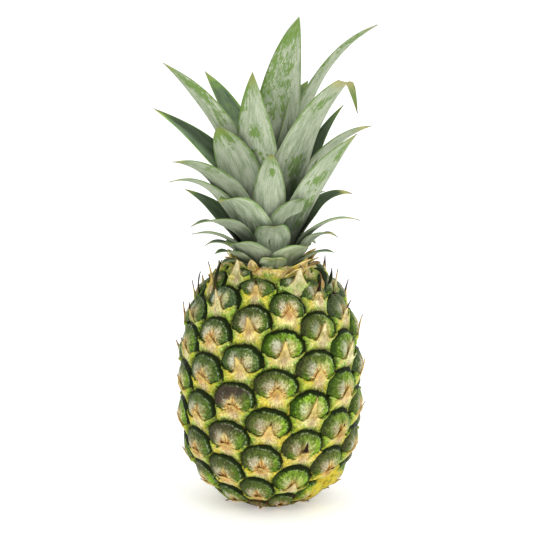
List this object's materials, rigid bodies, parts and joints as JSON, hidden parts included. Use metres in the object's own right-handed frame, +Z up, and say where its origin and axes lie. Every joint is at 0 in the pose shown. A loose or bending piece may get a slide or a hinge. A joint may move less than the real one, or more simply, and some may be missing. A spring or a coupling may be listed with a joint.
{
  "type": "pineapple",
  "caption": "Whole fresh pineapple standing upright: an oval fruit with raised spiny eyes, topped by a tall crown of stiff pointed grey-green leaves.",
  "frame": {"origin": "the middle of the small flat where the stalk was cut, which the fruit rests on", "axes": "+Z is up along the fruit's core to the crown, -Y is the front that the picture shows and +X is the front's right-hand side"},
  "size_m": [0.144, 0.1211, 0.3228],
  "materials": {
    "fruit_rind": "tough waxy rind, dark green caps and pale yellow-green bracts with tan spines",
    "crown_leaf": "stiff leathery leaf, pale grey-green bloom outside and darker green inside"
  },
  "bodies": {
    "root": {"fruit": "fruit_rind", "crown": "crown_leaf"}
  },
  "joints": []
}
